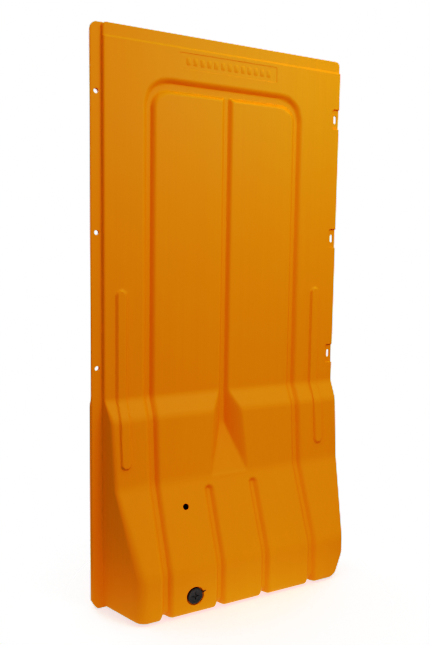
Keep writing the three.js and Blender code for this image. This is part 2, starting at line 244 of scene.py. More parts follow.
def valley(x, z, face):
    """Depth of the groove up the middle, which opens into the valley and ends in the wedge."""
    tall = face + GROOVE_DEPTH
    opening = np.clip((tall - GROOVE_DEPTH) / (LEDGE_OUT + 5 * MM), 0.0, None)
    widening = np.minimum(opening, 1.25)
    shoulder = GROOVE_SHOULDER + (VALLEY_SHOULDER - GROOVE_SHOULDER) * widening
    bulge = 1.5 - 0.25 * opening
    walls = groove(np.abs(x - PATTERN_X), GROOVE_FLOOR, shoulder, tall, bulge)
    rise = (BLOCK_OUT + GROOVE_DEPTH) / (WEDGE_TOP - SLOPE_TOP)
    below = (1 - rise) * ramp(SLOPE_TOP - z, 12 * MM)
    wedge = rise * (WEDGE_TOP - z) - GROOVE_DEPTH + below
    above_floor = np.maximum(face - np.maximum(wedge, -GROOVE_DEPTH), 0.0)
    depth = np.maximum(soft_min(walls, above_floor, 2.5 * MM), 0.0)
    return depth * (1 - step((z - ARCH_TOP + 12 * MM) / (14 * MM)))


def front_face(x, z):
    """The front surface between its two corner rounds, with its valley, grooves and beads."""
    face = front_profile(z)
    under = 1 + UNDERCUT * (1 - step(z / UNDERCUT_HEIGHT))
    floor = GROOVE_FLOOR + 4 * MM * step((z - ARCH_TOP + 50 * MM) / (40 * MM))
    arch = groove(to_arch(x, z), floor, GROOVE_SHOULDER + 3 * MM, GROOVE_DEPTH, ARCH_BULGE)
    depth = arch * under
    depth = np.maximum(depth, valley(x, z, face))
    out = face
    for side in (-1, 1):
        line = to_stick(x, z, PATTERN_X + side * SHORT_X, -1.0, SHORT_TOP)
        short = groove(line, SHORT_FLOOR, GROOVE_SHOULDER, SHORT_DEPTH)
        depth = np.maximum(depth, short * under)
        bead_x = PATTERN_X + side * BEAD_X
        bead = to_stick(x, z, bead_x, BEAD_ENDS[0] + BEAD_HALF, BEAD_ENDS[1] - BEAD_HALF)
        out = out + BEAD_OUT * step((BEAD_HALF - bead) / BEAD_SIDE)
    return out - depth


def pocket_limit(x, z):
    """The recess round each link slot in the right lip, as a limit on how far the surface may stand out."""
    limit = np.full(np.shape(x), 1.0)
    for level in LINK_LEVELS:
        across = (POCKET_X + POCKET_RADIUS) - x
        up = np.abs(z - level) - (POCKET_HALF - POCKET_RADIUS)
        wall = step((POCKET_RADIUS - to_corner(across, up)) / POCKET_WALL + 0.5)
        recess = POCKET_DEPTH * 3 * (1 - wall) - POCKET_DEPTH
        limit = np.where(wall > 0, np.minimum(limit, recess), limit)
    return limit


def left_inset(z):
    """How far the left limit of the moulding is cut in by its round or sloped corners."""
    return float(edge_drop(TOP - z, TOP_LEFT_RADIUS)) + bottom_inset(z)


def right_inset(z):
    band = BAND_SIDE * float(step((z - BAND_Z) / (7 * MM) + 0.5))
    return float(edge_drop(TOP - z, TOP_RIGHT_RADIUS)) + band + bottom_inset(z)


def bottom_inset(z):
    """A bottom corner that is half sloped and half round."""
    width, height = CORNER_CUT
    share = min(z / height, 1.0)
    return width * ((1 - share) * 0.5 + (1 - math.sqrt(1 - (1 - share) ** 2)) * 0.5)


# --------------------------------------------------------------------------------------------------
# Level sections


def between(a, b, count):
    """count points from a up to but not including b."""
    return [a + (b - a) * k / count for k in range(count)]


def graded(marks, end):
    """Places from the first mark to end. The step in a mark (place, step) holds up to the next mark."""
    places = []
    stops = [m[0] for m in marks[1:]] + [end]
    for (start, spacing), stop in zip(marks, stops):
        places += between(start, stop, max(1, round((stop - start) / spacing)))
    return places + [end]


def graded_mm(marks, end):
    """Graded places in metres, from marks in millimetres."""
    return graded([(place * MM, spacing * MM) for place, spacing in marks], end)


def arc(centre, radius, start, end, steps):
    """Points of an arc in plan, both ends included; angles from +X towards outwards."""
    turns = [start + (end - start) * k / steps for k in range(steps + 1)]
    return [(centre[0] + radius * math.cos(t), centre[1] + radius * math.sin(t)) for t in turns]


def side_wall(wall_x, slope_at, foot, top, radius, steps, side):
    """Points of a side wall in plan, from its foot outwards, and of the round that joins it to the face.

    wall_x gives the wall's x at a depth, slope_at how fast it leans inwards there, and side is -1 on the
    left.
    """
    middle = top - radius
    touch = top - radius
    for _ in range(8):
        lean = math.atan(slope_at(touch))
        touch = middle + radius * math.sin(lean)
    centre_x = wall_x(touch) - side * radius * math.cos(lean)
    wall = [(wall_x(d), d) for d in between(foot, touch, steps[0])]
    start = lean if side > 0 else math.pi - lean
    return wall + arc((centre_x, middle), radius, start, math.pi / 2, steps[1])


FRONT_OFFSETS = graded_mm(
    [
        (-340, 4), (-328, 3.5), (-264, 14), (-122, 4), (-62, 4.5), (-34, 3.4), (34, 4.5), (62, 4),
        (122, 14), (264, 3.5), (328, 4),
    ],
    340 * MM,
)
LEFT_MARGIN = 25
RIGHT_MARGIN = graded([(0.0, 0.03), (0.18, 0.022), (0.62, 0.04), (0.78, 0.014), (0.87, 0.03)], 1.0)
FRONT_LEVELS = graded_mm(
    [
        (30, 5), (50, 11), (140, 5), (192, 11), (380, 4), (474, 9), (500, 4), (540, 8), (604, 6),
        (660, 4), (768, 13), (816, 2.6), (836, 9), (886, 2.6), (906, 14), (1102, 4.5), (1136, 14),
        (1276, 2.6), (1296, 9), (1346, 2.6), (1366, 15), (1700, 6), (1736, 2.6), (1756, 4),
        (1790, 3), (1862, 9), (1950, 2), (1964, 4), (1976, 2.5), (1994, 1),
    ],
    TOP - 1 * MM,
)


def foot_levels(radius, steps):
    return [radius * (1 - math.cos(math.pi / 2 * k / steps)) for k in range(steps)]


def front_section(z):
    """One level section of the front skin, as (x, out) from the left seam round to the right seam."""
    face = float(front_profile(z))
    fall = float(edge_drop(z, FOOT_RADIUS))
    face_here = face - (fall if face > LEDGE_OUT else 0.0)
    big = float(step(face / (50 * MM)))

    left = LEFT + left_inset(z)
    flange = FLANGE_OUT - float(edge_drop(TOP - z, 3 * MM)) - float(edge_drop(z, 3 * MM))
    edge = FLANGE_EDGE
    points = [(left, PART_OUT), (left, flange - edge - 0.1 * MM)]
    points += arc((left + edge, flange - edge), edge, math.pi, math.pi / 2, 4)

    hollow = FLANGE_HOLLOW
    lean = math.atan(LEFT_DRAFT)
    shift = float(edge_drop(z, LEFT_FOOT_RADIUS)) / math.cos(lean)
    shift += float(edge_drop(TOP - z, LEFT_TOP_RADIUS))
    low = float(step((face - BLOCK_OUT) / (FOOT_OUT - BLOCK_OUT)))

    def left_wall(d):
        return FLANGE_X + shift + LEFT_DRAFT * d

    bend = hollow * math.tan((math.pi / 2 - lean) / 2)
    corner_x = left_wall(flange)
    centre = (corner_x - bend, flange + hollow)
    points += [(x, flange) for x in between(left + edge, corner_x - bend, 5)][1:]
    points += arc(centre, hollow, -math.pi / 2, -lean, 3)[:-1]
    foot = flange + hollow * (1 - math.sin(lean))
    room = (face_here - foot - 0.3 * MM) / (1 - math.sin(lean))
    radius = min((8 + 14 * big + 18 * low) * MM, room)
    points += side_wall(left_wall, lambda d: LEFT_DRAFT, foot, face_here, radius, (7, 8), -1)
    start_x = points[-1][0]

    inset = right_inset(z)
    cut_in = RIGHT_CUT[0] * float(ramp(1 - z / RIGHT_CUT[1], 0.06))

    def right_wall(d):
        share = float(step((d + 8 * MM) / (60 * MM)))
        drafted = RIGHT_DRAFT * float(ramp(d - DRAFT_FROM, DRAFT_SOFT))
        return RIGHT - inset - drafted - cut_in * share

    def right_lean(d):
        return (right_wall(d - 0.5 * MM) - right_wall(d + 0.5 * MM)) / MM

    radius = min((3 + 8 * big + 3 * low) * MM, 0.85 * (face_here - LIP_PART_OUT))
    right = side_wall(right_wall, right_lean, LIP_PART_OUT, face_here, radius, (9, 8), 1)[::-1]
    end_x = right[0][0]

    xs = between(start_x, PATTERN_X + FRONT_OFFSETS[0], LEFT_MARGIN)[1:]
    xs += [PATTERN_X + t for t in FRONT_OFFSETS[:-1]]
    last = PATTERN_X + FRONT_OFFSETS[-1]
    xs += [last + (end_x - last) * s for s in RIGHT_MARGIN[:-1]]
    xs = np.array(xs)
    outs = front_face(xs, np.full(len(xs), z)) - (fall if face > LEDGE_OUT else 0.0)
    points += list(zip(xs, outs)) + right
    points = np.array(points)
    here = points[:, 0] > POCKET_X - 20 * MM
    limit = pocket_limit(points[here, 0], np.full(int(here.sum()), z))
    points[here, 1] = np.minimum(points[here, 1], limit)
    return points


def front_rows():
    """Rows of points of the front skin's outer surface, from the bottom seam to the top seam."""
    levels = foot_levels(FOOT_RADIUS, 9) + FRONT_LEVELS + [TOP - 0.5 * MM, TOP - 0.1 * MM, TOP]
    rows = []
    for z in levels:
        section = front_section(z)
        rows.append(np.column_stack([section[:, 0], FACE_Y - section[:, 1], np.full(len(section), z)]))
    seam_x = TRAY_RIGHT - 6 * MM

    def seam(row):
        back = row.copy()
        back[:, 1] = FACE_Y - np.where(row[:, 0] > seam_x, LIP_PART_OUT, PART_OUT)
        return back

    return [seam(rows[0]), *rows, seam(rows[-1])]


def rear_channels(x, z):
    """Depth of the rear channels, which meet the grooves of the front."""
    line = np.minimum(to_arch(x, z), to_stick(x, z, PATTERN_X, 0.0, ARCH_TOP))
    line = np.where(z > CHANNEL_FOOT, line, np.hypot(line, CHANNEL_FOOT - z))
    return groove(line, 4 * MM, 9 * MM, CHANNEL_DEPTH)


REAR_OFFSETS = graded_mm(
    [
        (-440, 14), (-320, 3), (-274, 16), (-24, 3), (24, 16), (274, 3), (320, 14),
    ],
    440 * MM,
)
REAR_LEVELS = graded_mm(
    [
        (13, 4), (76, 20), (704, 3.5), (784, 24), (1790, 3), (1862, 12), (1976, 3), (1994, 1),
    ],
    TOP - 1 * MM,
)


def rear_section(z):
    """One level section of the rear skin, as (x, out) from the left seam round to the right seam."""
    low, high = REAR_STEP
    share = (high - z) / (high - low)
    step_back = (BASE_BACK - PANEL_BACK) * float(ramp(share, 0.25) - ramp(share - 1, 0.25))
    falls = float(edge_drop(z, REAR_BOTTOM)) + float(edge_drop(TOP - z, TOP_RADIUS))
    back = PANEL_BACK + step_back + falls
    radius = REAR_EDGE
    front = PART_OUT - SEAM_GAP
    left = LEFT + left_inset(z)
    right = RIGHT - right_inset(z)
    lip = -LIP_THICKNESS + float(edge_drop(z, 2 * MM)) + float(edge_drop(TOP - z, 2 * MM))
    lip_edge = 1.5 * MM
    points = [(left, front)]
    reach = min(radius, (front - back) * 0.9)
    points += arc((left + reach, back + reach), reach, math.pi, 1.5 * math.pi, 6)
    tray = min(TRAY_RIGHT, right - 4 * MM)
    first = PATTERN_X + REAR_OFFSETS[0]
    last = PATTERN_X + REAR_OFFSETS[-1]
    xs = between(points[-1][0], first, 3)[1:] + [PATTERN_X + t for t in REAR_OFFSETS[:-1]]
    xs += between(last, tray - reach, 3)
    xs = np.array(xs)
    outs = back + rear_channels(xs, np.full(len(xs), z))
    points += list(zip(xs, outs))
    points += arc((tray - reach, back + reach), reach, -math.pi / 2, 0.0, 6)
    hollow = 1.5 * MM
    points += arc((tray + hollow, lip - hollow), hollow, math.pi, math.pi / 2, 3)
    points += between_points((tray + hollow, lip), (right - lip_edge, lip), 8)
    points += arc((right - lip_edge, lip + lip_edge), lip_edge, -math.pi / 2, 0.0, 4)
    points += [(right, LIP_PART_OUT - SEAM_GAP)]
    return np.array(points)


def between_points(a, b, count):
    return [(a[0] + (b[0] - a[0]) * k / count, a[1] + (b[1] - a[1]) * k / count) for k in range(1, count)]


def rear_rows():
    levels = foot_levels(REAR_BOTTOM, 6) + REAR_LEVELS + [TOP - 0.5 * MM, TOP - 0.1 * MM, TOP]
    rows = []
    for z in levels:
        section = rear_section(z)
        rows.append(np.column_stack([section[:, 0], FACE_Y - section[:, 1], np.full(len(section), z)]))
    seam_x = TRAY_RIGHT - 5 * MM

    def seam(row):
        front = row.copy()
        front[:, 1] = FACE_Y - np.where(row[:, 0] > seam_x, LIP_PART_OUT, PART_OUT) + SEAM_GAP
        return front

    return [seam(rows[0]), *rows, seam(rows[-1])]


# --------------------------------------------------------------------------------------------------
# Mesh helpers


def new_object(name, vertices, faces):
    mesh = bpy.data.meshes.new(name)
    mesh.from_pydata([tuple(map(float, v)) for v in vertices], [], faces)
    mesh.validate()
    piece = bpy.data.objects.new(name, mesh)
    bpy.context.scene.collection.objects.link(piece)
    return piece


def grid_object(name, rows):
    """A surface through rows of points, all of the same length."""
    width = len(rows[0])
    faces = []
    for r in range(len(rows) - 1):
        for c in range(width - 1):
            a = r * width + c
            quad = (a, a + 1, a + width + 1, a + width)
            faces.append(quad)
    skin = new_object(name, np.concatenate(rows), faces)
    weld(skin, 1e-5)
    return skin


def use_modifier(piece, kind, **settings):
    """Adds a modifier and applies it to the mesh."""
    modifier = piece.modifiers.new(kind.title(), kind)
    for key, value in settings.items():
        setattr(modifier, key, value)
    depsgraph = bpy.context.evaluated_depsgraph_get()
    mesh = bpy.data.meshes.new_from_object(piece.evaluated_get(depsgraph))
    mesh.name = piece.name
    piece.modifiers.remove(modifier)
    old = piece.data
    piece.data = mesh
    bpy.data.meshes.remove(old)


def turned_object(name, profile, centre, steps=96, closed=True):
    """Turns a profile of (radius, depth) about an axis along Y; depth runs backwards from centre."""
    rings = len(profile)
    vertices = []
    for k in range(steps):
        turn = 2 * math.pi * k / steps
        for radius, depth in profile:
            x, z = radius * math.cos(turn), radius * math.sin(turn)
            vertices.append((centre[0] + x, centre[1] + depth, centre[2] + z))
    faces = []
    for k in range(steps):
        here, there = k * rings, (k + 1) % steps * rings
        for j in range(rings if closed else rings - 1):
            n = (j + 1) % rings
            faces.append((here + j, here + n, there + n, there + j))
    piece = new_object(name, vertices, faces)
    weld(piece)
    faces_out(piece)
    return piece


def weld(piece, distance=1e-6):
    use_modifier(piece, "WELD", merge_threshold=distance)


def outline_object(name, outline, low, high):
    """A closed prism along Y of an outline of (x, z) points, between two places in Y."""
    count = len(outline)
    vertices = [(x, low, z) for x, z in outline] + [(x, high, z) for x, z in outline]
    faces = [tuple(range(count)), tuple(range(2 * count - 1, count - 1, -1))]
    faces += [(k, k + count, (k + 1) % count + count, (k + 1) % count) for k in range(count)]
    return new_object(name, vertices, faces)


def rounded_outline(centre, half, radius, steps=8):
    """Points of a rounded rectangle in the XZ plane, counter-clockwise seen from the front."""
    points = []
    for quarter in range(4):
        turn = math.pi / 2 * quarter
        sx = 1 if quarter in (0, 3) else -1
        sz = 1 if quarter in (0, 1) else -1
        middle = (centre[0] + sx * (half[0] - radius), centre[1] + sz * (half[1] - radius))
        points += arc(middle, radius, turn, turn + math.pi / 2, steps)
    return points


def cut(piece, tools, operation="DIFFERENCE"):
    """Cuts tools that don't touch each other from a piece, or joins them to it, and removes them."""
    made = bmesh.new()
    for tool in tools:
        made.from_mesh(tool.data)
        bpy.data.objects.remove(tool)
    bmesh.ops.recalc_face_normals(made, faces=made.faces)
    mesh = bpy.data.meshes.new("tools")
    made.to_mesh(mesh)
    made.free()
    together = bpy.data.objects.new("tools", mesh)
    bpy.context.scene.collection.objects.link(together)
    use_modifier(piece, "BOOLEAN", operation=operation, object=together, solver="MANIFOLD")
    bpy.data.objects.remove(together)


def faces_out(piece):
    """Turns the faces of a closed mesh outwards."""
    made = bmesh.new()
    made.from_mesh(piece.data)
    bmesh.ops.recalc_face_normals(made, faces=made.faces)
    made.to_mesh(piece.data)
    made.free()


def smooth(piece, degrees):
    """Smooth shading, with edges that turn by more than the angle kept sharp."""
    mesh = piece.data
    mesh.shade_smooth()
    mesh.set_sharp_from_angle(angle=math.radians(degrees))


def keep_inside(piece):
    """Moves any point that thickening has pushed out of the barrier's box back to the box's side."""
    for vertex in piece.data.vertices:
        vertex.co = [min(max(value, low), high) for value, low, high in zip(vertex.co, *CAD_BOX)]


def finish_piece(piece, material, body, slot, *nodes):
    """Gives a piece its material and its place in the frame."""
    piece.data.materials.clear()
    piece.data.materials.append(material)
    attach(piece, body)
    if nodes:
        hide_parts(*nodes)


# --------------------------------------------------------------------------------------------------
# Finishes


class Wire:
    """A node's output that takes part in arithmetic: each operator adds one Math node."""

    def __init__(self, finish, output):
        self.finish = finish
        self.output = output

    def combined(self, operation, first, second):
        return self.finish.node("ShaderNodeMath", {"operation": operation}, {0: first, 1: second})

    def __add__(self, other):
        return self.combined("ADD", self, other)

    def __radd__(self, other):
        return self.combined("ADD", other, self)

    def __sub__(self, other):
        return self.combined("SUBTRACT", self, other)

    def __rsub__(self, other):
        return self.combined("SUBTRACT", other, self)

    def __mul__(self, other):
        return self.combined("MULTIPLY", self, other)

    def __rmul__(self, other):
        return self.combined("MULTIPLY", other, self)


class Finish:
    """A procedural material round one Principled shader. Constants go straight on the shader's sockets."""

    def __init__(self, name, constants):
        self.material = bpy.data.materials.new(name)
        self.material.use_nodes = True
        self.nodes = self.material.node_tree.nodes
        self.links = self.material.node_tree.links
        self.shader = self.nodes["Principled BSDF"]
        for socket, value in constants.items():
            self.shader.inputs[socket].default_value = value

    def node(self, kind, settings=None, inputs=None, output=0):
        """Adds a node, sets it up, feeds its sockets with values or wires, and gives one of its outputs."""
        made = self.nodes.new(kind)
        for key, value in (settings or {}).items():
            if key == "stops":
                ramp_stops(made.color_ramp.elements, value)
            else:
                setattr(made, key, value)
        for key, value in (inputs or {}).items():
            self.feed(made.inputs[key], value)
        return Wire(self, made.outputs[output])

    def feed(self, socket, value):
        if isinstance(value, Wire):
            self.links.new(value.output, socket)
        else:
            socket.default_value = value

    def place(self, stretch):
        """Object coordinates, scaled so that a pattern is finer along the axes with larger numbers."""
        coordinates = self.node("ShaderNodeTexCoord", output="Object")
        return self.node("ShaderNodeVectorMath", {"operation": "MULTIPLY"}, {0: coordinates, 1: stretch})

    def noise(self, stretch, detail=2.0, roughness=0.5):
        """Noise from 0 to 1 about 0.5, with the number of its waves per metre along each axis."""
        inputs = {"Vector": self.place(stretch), "Scale": 1.0, "Detail": detail, "Roughness": roughness}
        return self.node("ShaderNodeTexNoise", {}, inputs)

    def above(self, value, low, high):
        """0 where value is below low, 1 where it is above high."""
        stops = [(low, (0, 0, 0, 1)), (high, (1, 1, 1, 1))]
        return self.node("ShaderNodeValToRGB", {"stops": stops}, {0: value})

    def blend(self, share, first, second):
        inputs = {0: share, 6: first, 7: second}
        return self.node("ShaderNodeMix", {"data_type": "RGBA"}, inputs, output=2)

    def surface(self, colour=None, roughness=None, height=None, bump=0.0):
        if colour is not None:
            self.feed(self.shader.inputs["Base Color"], colour)
        if roughness is not None:
            self.feed(self.shader.inputs["Roughness"], roughness)
        if height is not None:
            inputs = {"Height": height, "Strength": 1.0, "Distance": bump}
            self.feed(self.shader.inputs["Normal"], self.node("ShaderNodeBump", {}, inputs))
        return self.material


def ramp_stops(elements, stops):
    for element, (position, colour) in zip(elements, stops):
        element.position = position
        element.color = colour


def tinted(colour, factor):
    return tuple(min(1.0, c * factor) for c in colour[:3]) + (1.0,)


def orange_polyethylene(sizes):
    """Moulded polyethylene: fine upright streaks from the mould, soft clouds and a slight grain."""
    finish = Finish("orange_polyethylene", {"Specular IOR Level": 0.15, "Coat Weight": 0.0})
    colour = tuple(sizes.orange)
    streaks = finish.noise((330.0, 330.0, 1.6), 3.0, 0.55)
    bands = finish.noise((42.0, 42.0, 0.7), 2.0)
    clouds = finish.noise((5.0, 5.0, 3.2), 3.0, 0.6)
    grain = finish.noise((900.0, 900.0, 620.0), 2.0, 0.6)
    tone = streaks * 0.45 + bands * 0.3 + clouds * 0.25
    share = finish.above(tone, 0.36, 0.64)
    light, dark = tinted(colour, 1 + sizes.streaks), tinted(colour, 1 - sizes.streaks)
    base = finish.blend(share, dark, light)
    dull = finish.above(finish.noise((11.0, 11.0, 7.0), 5.0, 0.65), 0.56, 0.78)
    base = finish.blend(dull * 0.10, base, (0.82, 0.36, 0.03, 1.0))
    roughness = 0.46 + clouds * 0.10 + streaks * 0.06 + dull * 0.08
    height = streaks * 0.3 + grain * 0.4 + bands * 0.3
    return finish.surface(base, roughness, height, 0.00006)


def black_plastic(sizes):
    """Moulded black plastic with a fine grain, a few pale scuffs and a touch of dust."""
    finish = Finish("black_plastic", {"Specular IOR Level": 0.5})
    grain = finish.noise((1500.0, 1500.0, 1500.0), 3.0, 0.6)
    scuffs = finish.above(finish.noise((260.0, 40.0, 700.0), 4.0, 0.7), 0.60, 0.72)
    dust = finish.above(finish.noise((90.0, 90.0, 90.0), 4.0, 0.6), 0.50, 0.80)
    base = finish.blend(dust * 0.35, tuple(sizes.black), (0.045, 0.043, 0.040, 1.0))
    base = finish.blend(scuffs * 0.4, base, (0.085, 0.083, 0.080, 1.0))
    return finish.surface(base, 0.36 + grain * 0.12 + scuffs * 0.2, grain, 0.00008)


def black_rubber(sizes):
    """Moulded rubber: dull, with a little grey bloom."""
    finish = Finish("black_rubber", {"Specular IOR Level": 0.3})
    grain = finish.noise((2200.0, 2200.0, 2200.0), 3.0, 0.6)
    bloom = finish.above(finish.noise((120.0, 120.0, 120.0), 3.0, 0.6), 0.45, 0.75)
    base = finish.blend(bloom * 0.6, tinted(sizes.black, 0.8), (0.03, 0.03, 0.031, 1.0))
    return finish.surface(base, 0.68 + bloom * 0.14, grain, 0.00006)


def pale_floor(sizes):
    """A smooth pale studio floor with barely visible clouds."""
    finish = Finish("pale_floor", {"Specular IOR Level": 0.1, "Emission Strength": 0.55})
    clouds = finish.noise((0.6, 0.6, 0.6), 3.0)
    base = finish.blend(clouds, tinted(sizes.floor, 0.985), tuple(sizes.floor) + (1.0,))
    centre = finish.node("ShaderNodeTexCoord", output="Object")
    away = finish.node("ShaderNodeVectorMath", {"operation": "LENGTH"}, {0: centre}, output="Value")
    finish.feed(finish.shader.inputs["Alpha"], 1 - finish.above(away * 0.5, 0.12, 0.40))
    return finish.surface(base, 0.85 + clouds * 0.05)


# --------------------------------------------------------------------------------------------------
# Properties


class BarrierSizes(bpy.types.PropertyGroup):
    """The sizes and finishes that a user may want to change."""

    wall: FloatProperty(
        name="Wall", description="Thickness of the moulded wall", default=5 * MM, min=2 * MM, max=6 * MM,
        unit="LENGTH",
    )
    bar_height: FloatProperty(
        name="Bar height", description="How far the plain bars stand up in the top panel", default=1.1 * MM,
        min=0.3 * MM, max=1.4 * MM, unit="LENGTH",
    )
    plug_head: FloatProperty(
        name="Plug head", description="Thickness of the drain plug's head", default=6 * MM, unit="LENGTH",
    )
    orange: FloatVectorProperty(
        name="Orange", description="Colour of the polyethylene", default=(0.90, 0.285, 0.0, 1.0), size=4,
        subtype="COLOR", min=0.0, max=1.0,
    )
    black: FloatVectorProperty(
        name="Black", description="Colour of the drain plug and bush",
        default=(0.012, 0.012, 0.013, 1.0), size=4, subtype="COLOR", min=0.0, max=1.0,
    )
    floor: FloatVectorProperty(
        name="Floor", description="Colour of the studio floor", default=(0.60, 0.60, 0.60), size=3,
        subtype="COLOR", min=0.0, max=1.0,
    )
    streaks: FloatProperty(
        name="Streaks", description="Strength of the streaks and clouds in the orange",
        default=0.022, min=0.0, max=0.5, subtype="FACTOR",
    )
    key_power: FloatProperty(
        name="Key power", description="Power of the lamp at the front, high and right of the middle",
        default=18.0, min=0.0, unit="POWER",
    )
    fill_power: FloatProperty(
        name="Fill power", description="Power of the top lamp; the rear lamp has four times as much",
        default=10.0, min=0.0, unit="POWER",
    )
    ambient: FloatProperty(
        name="Ambient", description="Brightness of the surroundings", default=0.60, min=0.0, max=2.0,
    )
    dim_floor: FloatProperty(
        name="Dim floor", description="Share of the brightness from below", default=0.12, min=0.0, max=1.0,
        subtype="FACTOR",
    )


# --------------------------------------------------------------------------------------------------
# Pieces


class BARRIER_OT_front_skin(bpy.types.Operator):
    """Make the front skin with its ledge, foot, grooves, beads, pockets, holes and blank panel"""

    bl_idname = "barrier.front_skin"
    bl_label = "Front skin"

    def execute(self, context):
        sizes = context.scene.barrier
        skin = grid_object("front_skin_moulding", front_rows())
        faces_out_open(skin)
        use_modifier(skin, "SOLIDIFY", thickness=sizes.wall, offset=-1.0, use_even_offset=False)
        keep_inside(skin)
        seat = self.add_drain_cup(skin)
        self.cut_holes(skin, seat)
        self.add_panel(skin, sizes.bar_height)
        smooth(skin, 34)
        finish_piece(skin, orange_polyethylene(sizes), "barrier", "moulding", "front_skin")
        return {"FINISHED"}

    def add_drain_cup(self, skin):
        """The round recess for the drain, whose floor is one wall thick."""
        front = FACE_Y - FOOT_OUT
        seat = DRAIN.y
        wall = 5 * MM
        cup = turned_object(
            "cup",
            [(0, front + 1.5 * MM), (RECESS_RADIUS + wall, front + 1.5 * MM),
             (RECESS_RADIUS + wall, seat + 3 * MM), (RECESS_RADIUS + 3 * MM, seat + wall),
             (0, seat + wall)],
            (DRAIN.x, 0, DRAIN.z),
            closed=False,
        )
        cut(skin, [cup], "UNION")
        edge = [(RECESS_RADIUS + 2.6 * MM * (1 - math.cos(t)), front + 2.6 * MM * (1 - math.sin(t)))
                for t in between(0.0, math.pi / 2, 5)] + [(RECESS_RADIUS + 2.6 * MM, front)]
        tool = turned_object(
            "recess",
            [(0, seat), (RECESS_RADIUS - 1.5 * MM, seat), (RECESS_RADIUS, seat - 1.5 * MM), *edge,
             (RECESS_RADIUS + 2.6 * MM, front - 20 * MM), (0, front - 20 * MM)],
            (DRAIN.x, 0, DRAIN.z),
            closed=False,
        )
        cut(skin, [tool])
        return seat

    def cut_holes(self, skin, seat):
        radius = (BUSH_HIGH.x - BUSH_LOW.x) / 2 - 9 * MM + SEAM_GAP
        bore = rounded_outline((DRAIN.x, DRAIN.z), (radius, radius), radius - 0.01 * MM, 12)
        tools = [outline_object("bore", bore, seat - 5 * MM, seat + 20 * MM)]
        bosses = []
        for level in LINK_LEVELS:
            boss = rounded_outline((LINK_LEFT_X, level), (14 * MM, 14 * MM), 13.9 * MM, 10)
            bosses.append(outline_object("boss", boss, FACE_Y - FLANGE_OUT + 1.2 * MM, FACE_Y - PART_OUT))
            hole = rounded_outline((LINK_LEFT_X, level), (LINK_RADIUS,) * 2, LINK_RADIUS - 0.01 * MM, 10)
            slot = rounded_outline((LINK_RIGHT_X, level), SLOT_HALF, SLOT_HALF[0] - 0.01 * MM, 10)
            tools.append(outline_object("hole", hole, FACE_Y - 5 * MM, FACE_Y + 60 * MM))
            tools.append(outline_object("slot", slot, FACE_Y - 5 * MM, FACE_Y + 60 * MM))
        tools.append(self.fill_tool())
        cut(skin, bosses, "UNION")
        cut(skin, tools)

    def fill_tool(self):
        """A drill for the fill hole, square to the slope, with a small round at the edge."""
        slope = (FOOT_OUT - BLOCK_OUT) / (SLOPE_TOP - SLOPE_FOOT)
        x, z = FILL_PLACE
        out = BLOCK_OUT + slope * (SLOPE_TOP - z)
        mouth = FILL_RADIUS + 1.2 * MM
        profile = [(0, -20 * MM), (mouth, -20 * MM), (mouth, 0), (FILL_RADIUS + 0.35 * MM, 0.5 * MM),
                   (FILL_RADIUS, 1.3 * MM), (FILL_RADIUS, 25 * MM), (0, 25 * MM)]
        tool = turned_object("drill", profile, (0, 0, 0), 48, closed=False)
        tilt = Matrix.Rotation(-math.atan(slope), 4, "X")
        tool.data.transform(Matrix.Translation((x, FACE_Y - out, z)) @ tilt)
        return tool

    def add_panel(self, skin, bar_height):
        """The shallow blank panel near the top, with a row of plain bars."""
        face = FACE_Y
        outline = rounded_outline(PANEL_CENTRE, PANEL_HALF, 8 * MM, 8)
        inner = (PANEL_HALF[0] - 1.4 * MM, PANEL_HALF[1] - 1.4 * MM)
        small = rounded_outline(PANEL_CENTRE, inner, 6.6 * MM, 8)
        tool = lofted_object("panel", [outline, small], [face - 1 * MM, face + PANEL_DEPTH])
        cut(skin, [tool])
        bars = []
        for k in range(BAR_COUNT):
            x = PANEL_CENTRE[0] + (k - (BAR_COUNT - 1) / 2) * BAR_PITCH
            low = rounded_outline((x, PANEL_CENTRE[1]), (8 * MM, 12.5 * MM), 4 * MM, 5)
            high = rounded_outline((x, PANEL_CENTRE[1]), (6.8 * MM, 11.3 * MM), 3 * MM, 5)
            top = face + PANEL_DEPTH - bar_height
            bars.append(
                lofted_object("bar", [high, low, low], [top, top + 0.8 * MM, face + PANEL_DEPTH + 1.5 * MM])
            )
        cut(skin, bars, "UNION")


def loft_faces(count, layers):
    """Faces of a closed body through layers of count points each: its two ends and the sides between."""
    total = count * layers
    faces = [tuple(range(count)), tuple(range(total - 1, total - 1 - count, -1))]
    for start in range(0, total - count, count):
        for k in range(count):
            ahead = (k + 1) % count
            faces.append((start + k, start + k + count, start + ahead + count, start + ahead))
    return faces


def lofted_object(name, outlines, places):
    """A closed body through outlines with as many points each, at places along Y from front to back."""
    vertices = [(x, y, z) for outline, y in zip(outlines, places) for x, z in outline]
    piece = new_object(name, vertices, loft_faces(len(outlines[0]), len(places)))
    faces_out(piece)
    return piece


def faces_out_open(piece):
    """Turns the faces of an open skin away from the middle of the hollow behind it."""
    mesh = piece.data
    mesh.update()
    front = min(mesh.polygons, key=lambda face: face.center.y)
    if front.normal.y > 0:
        mesh.flip_normals()


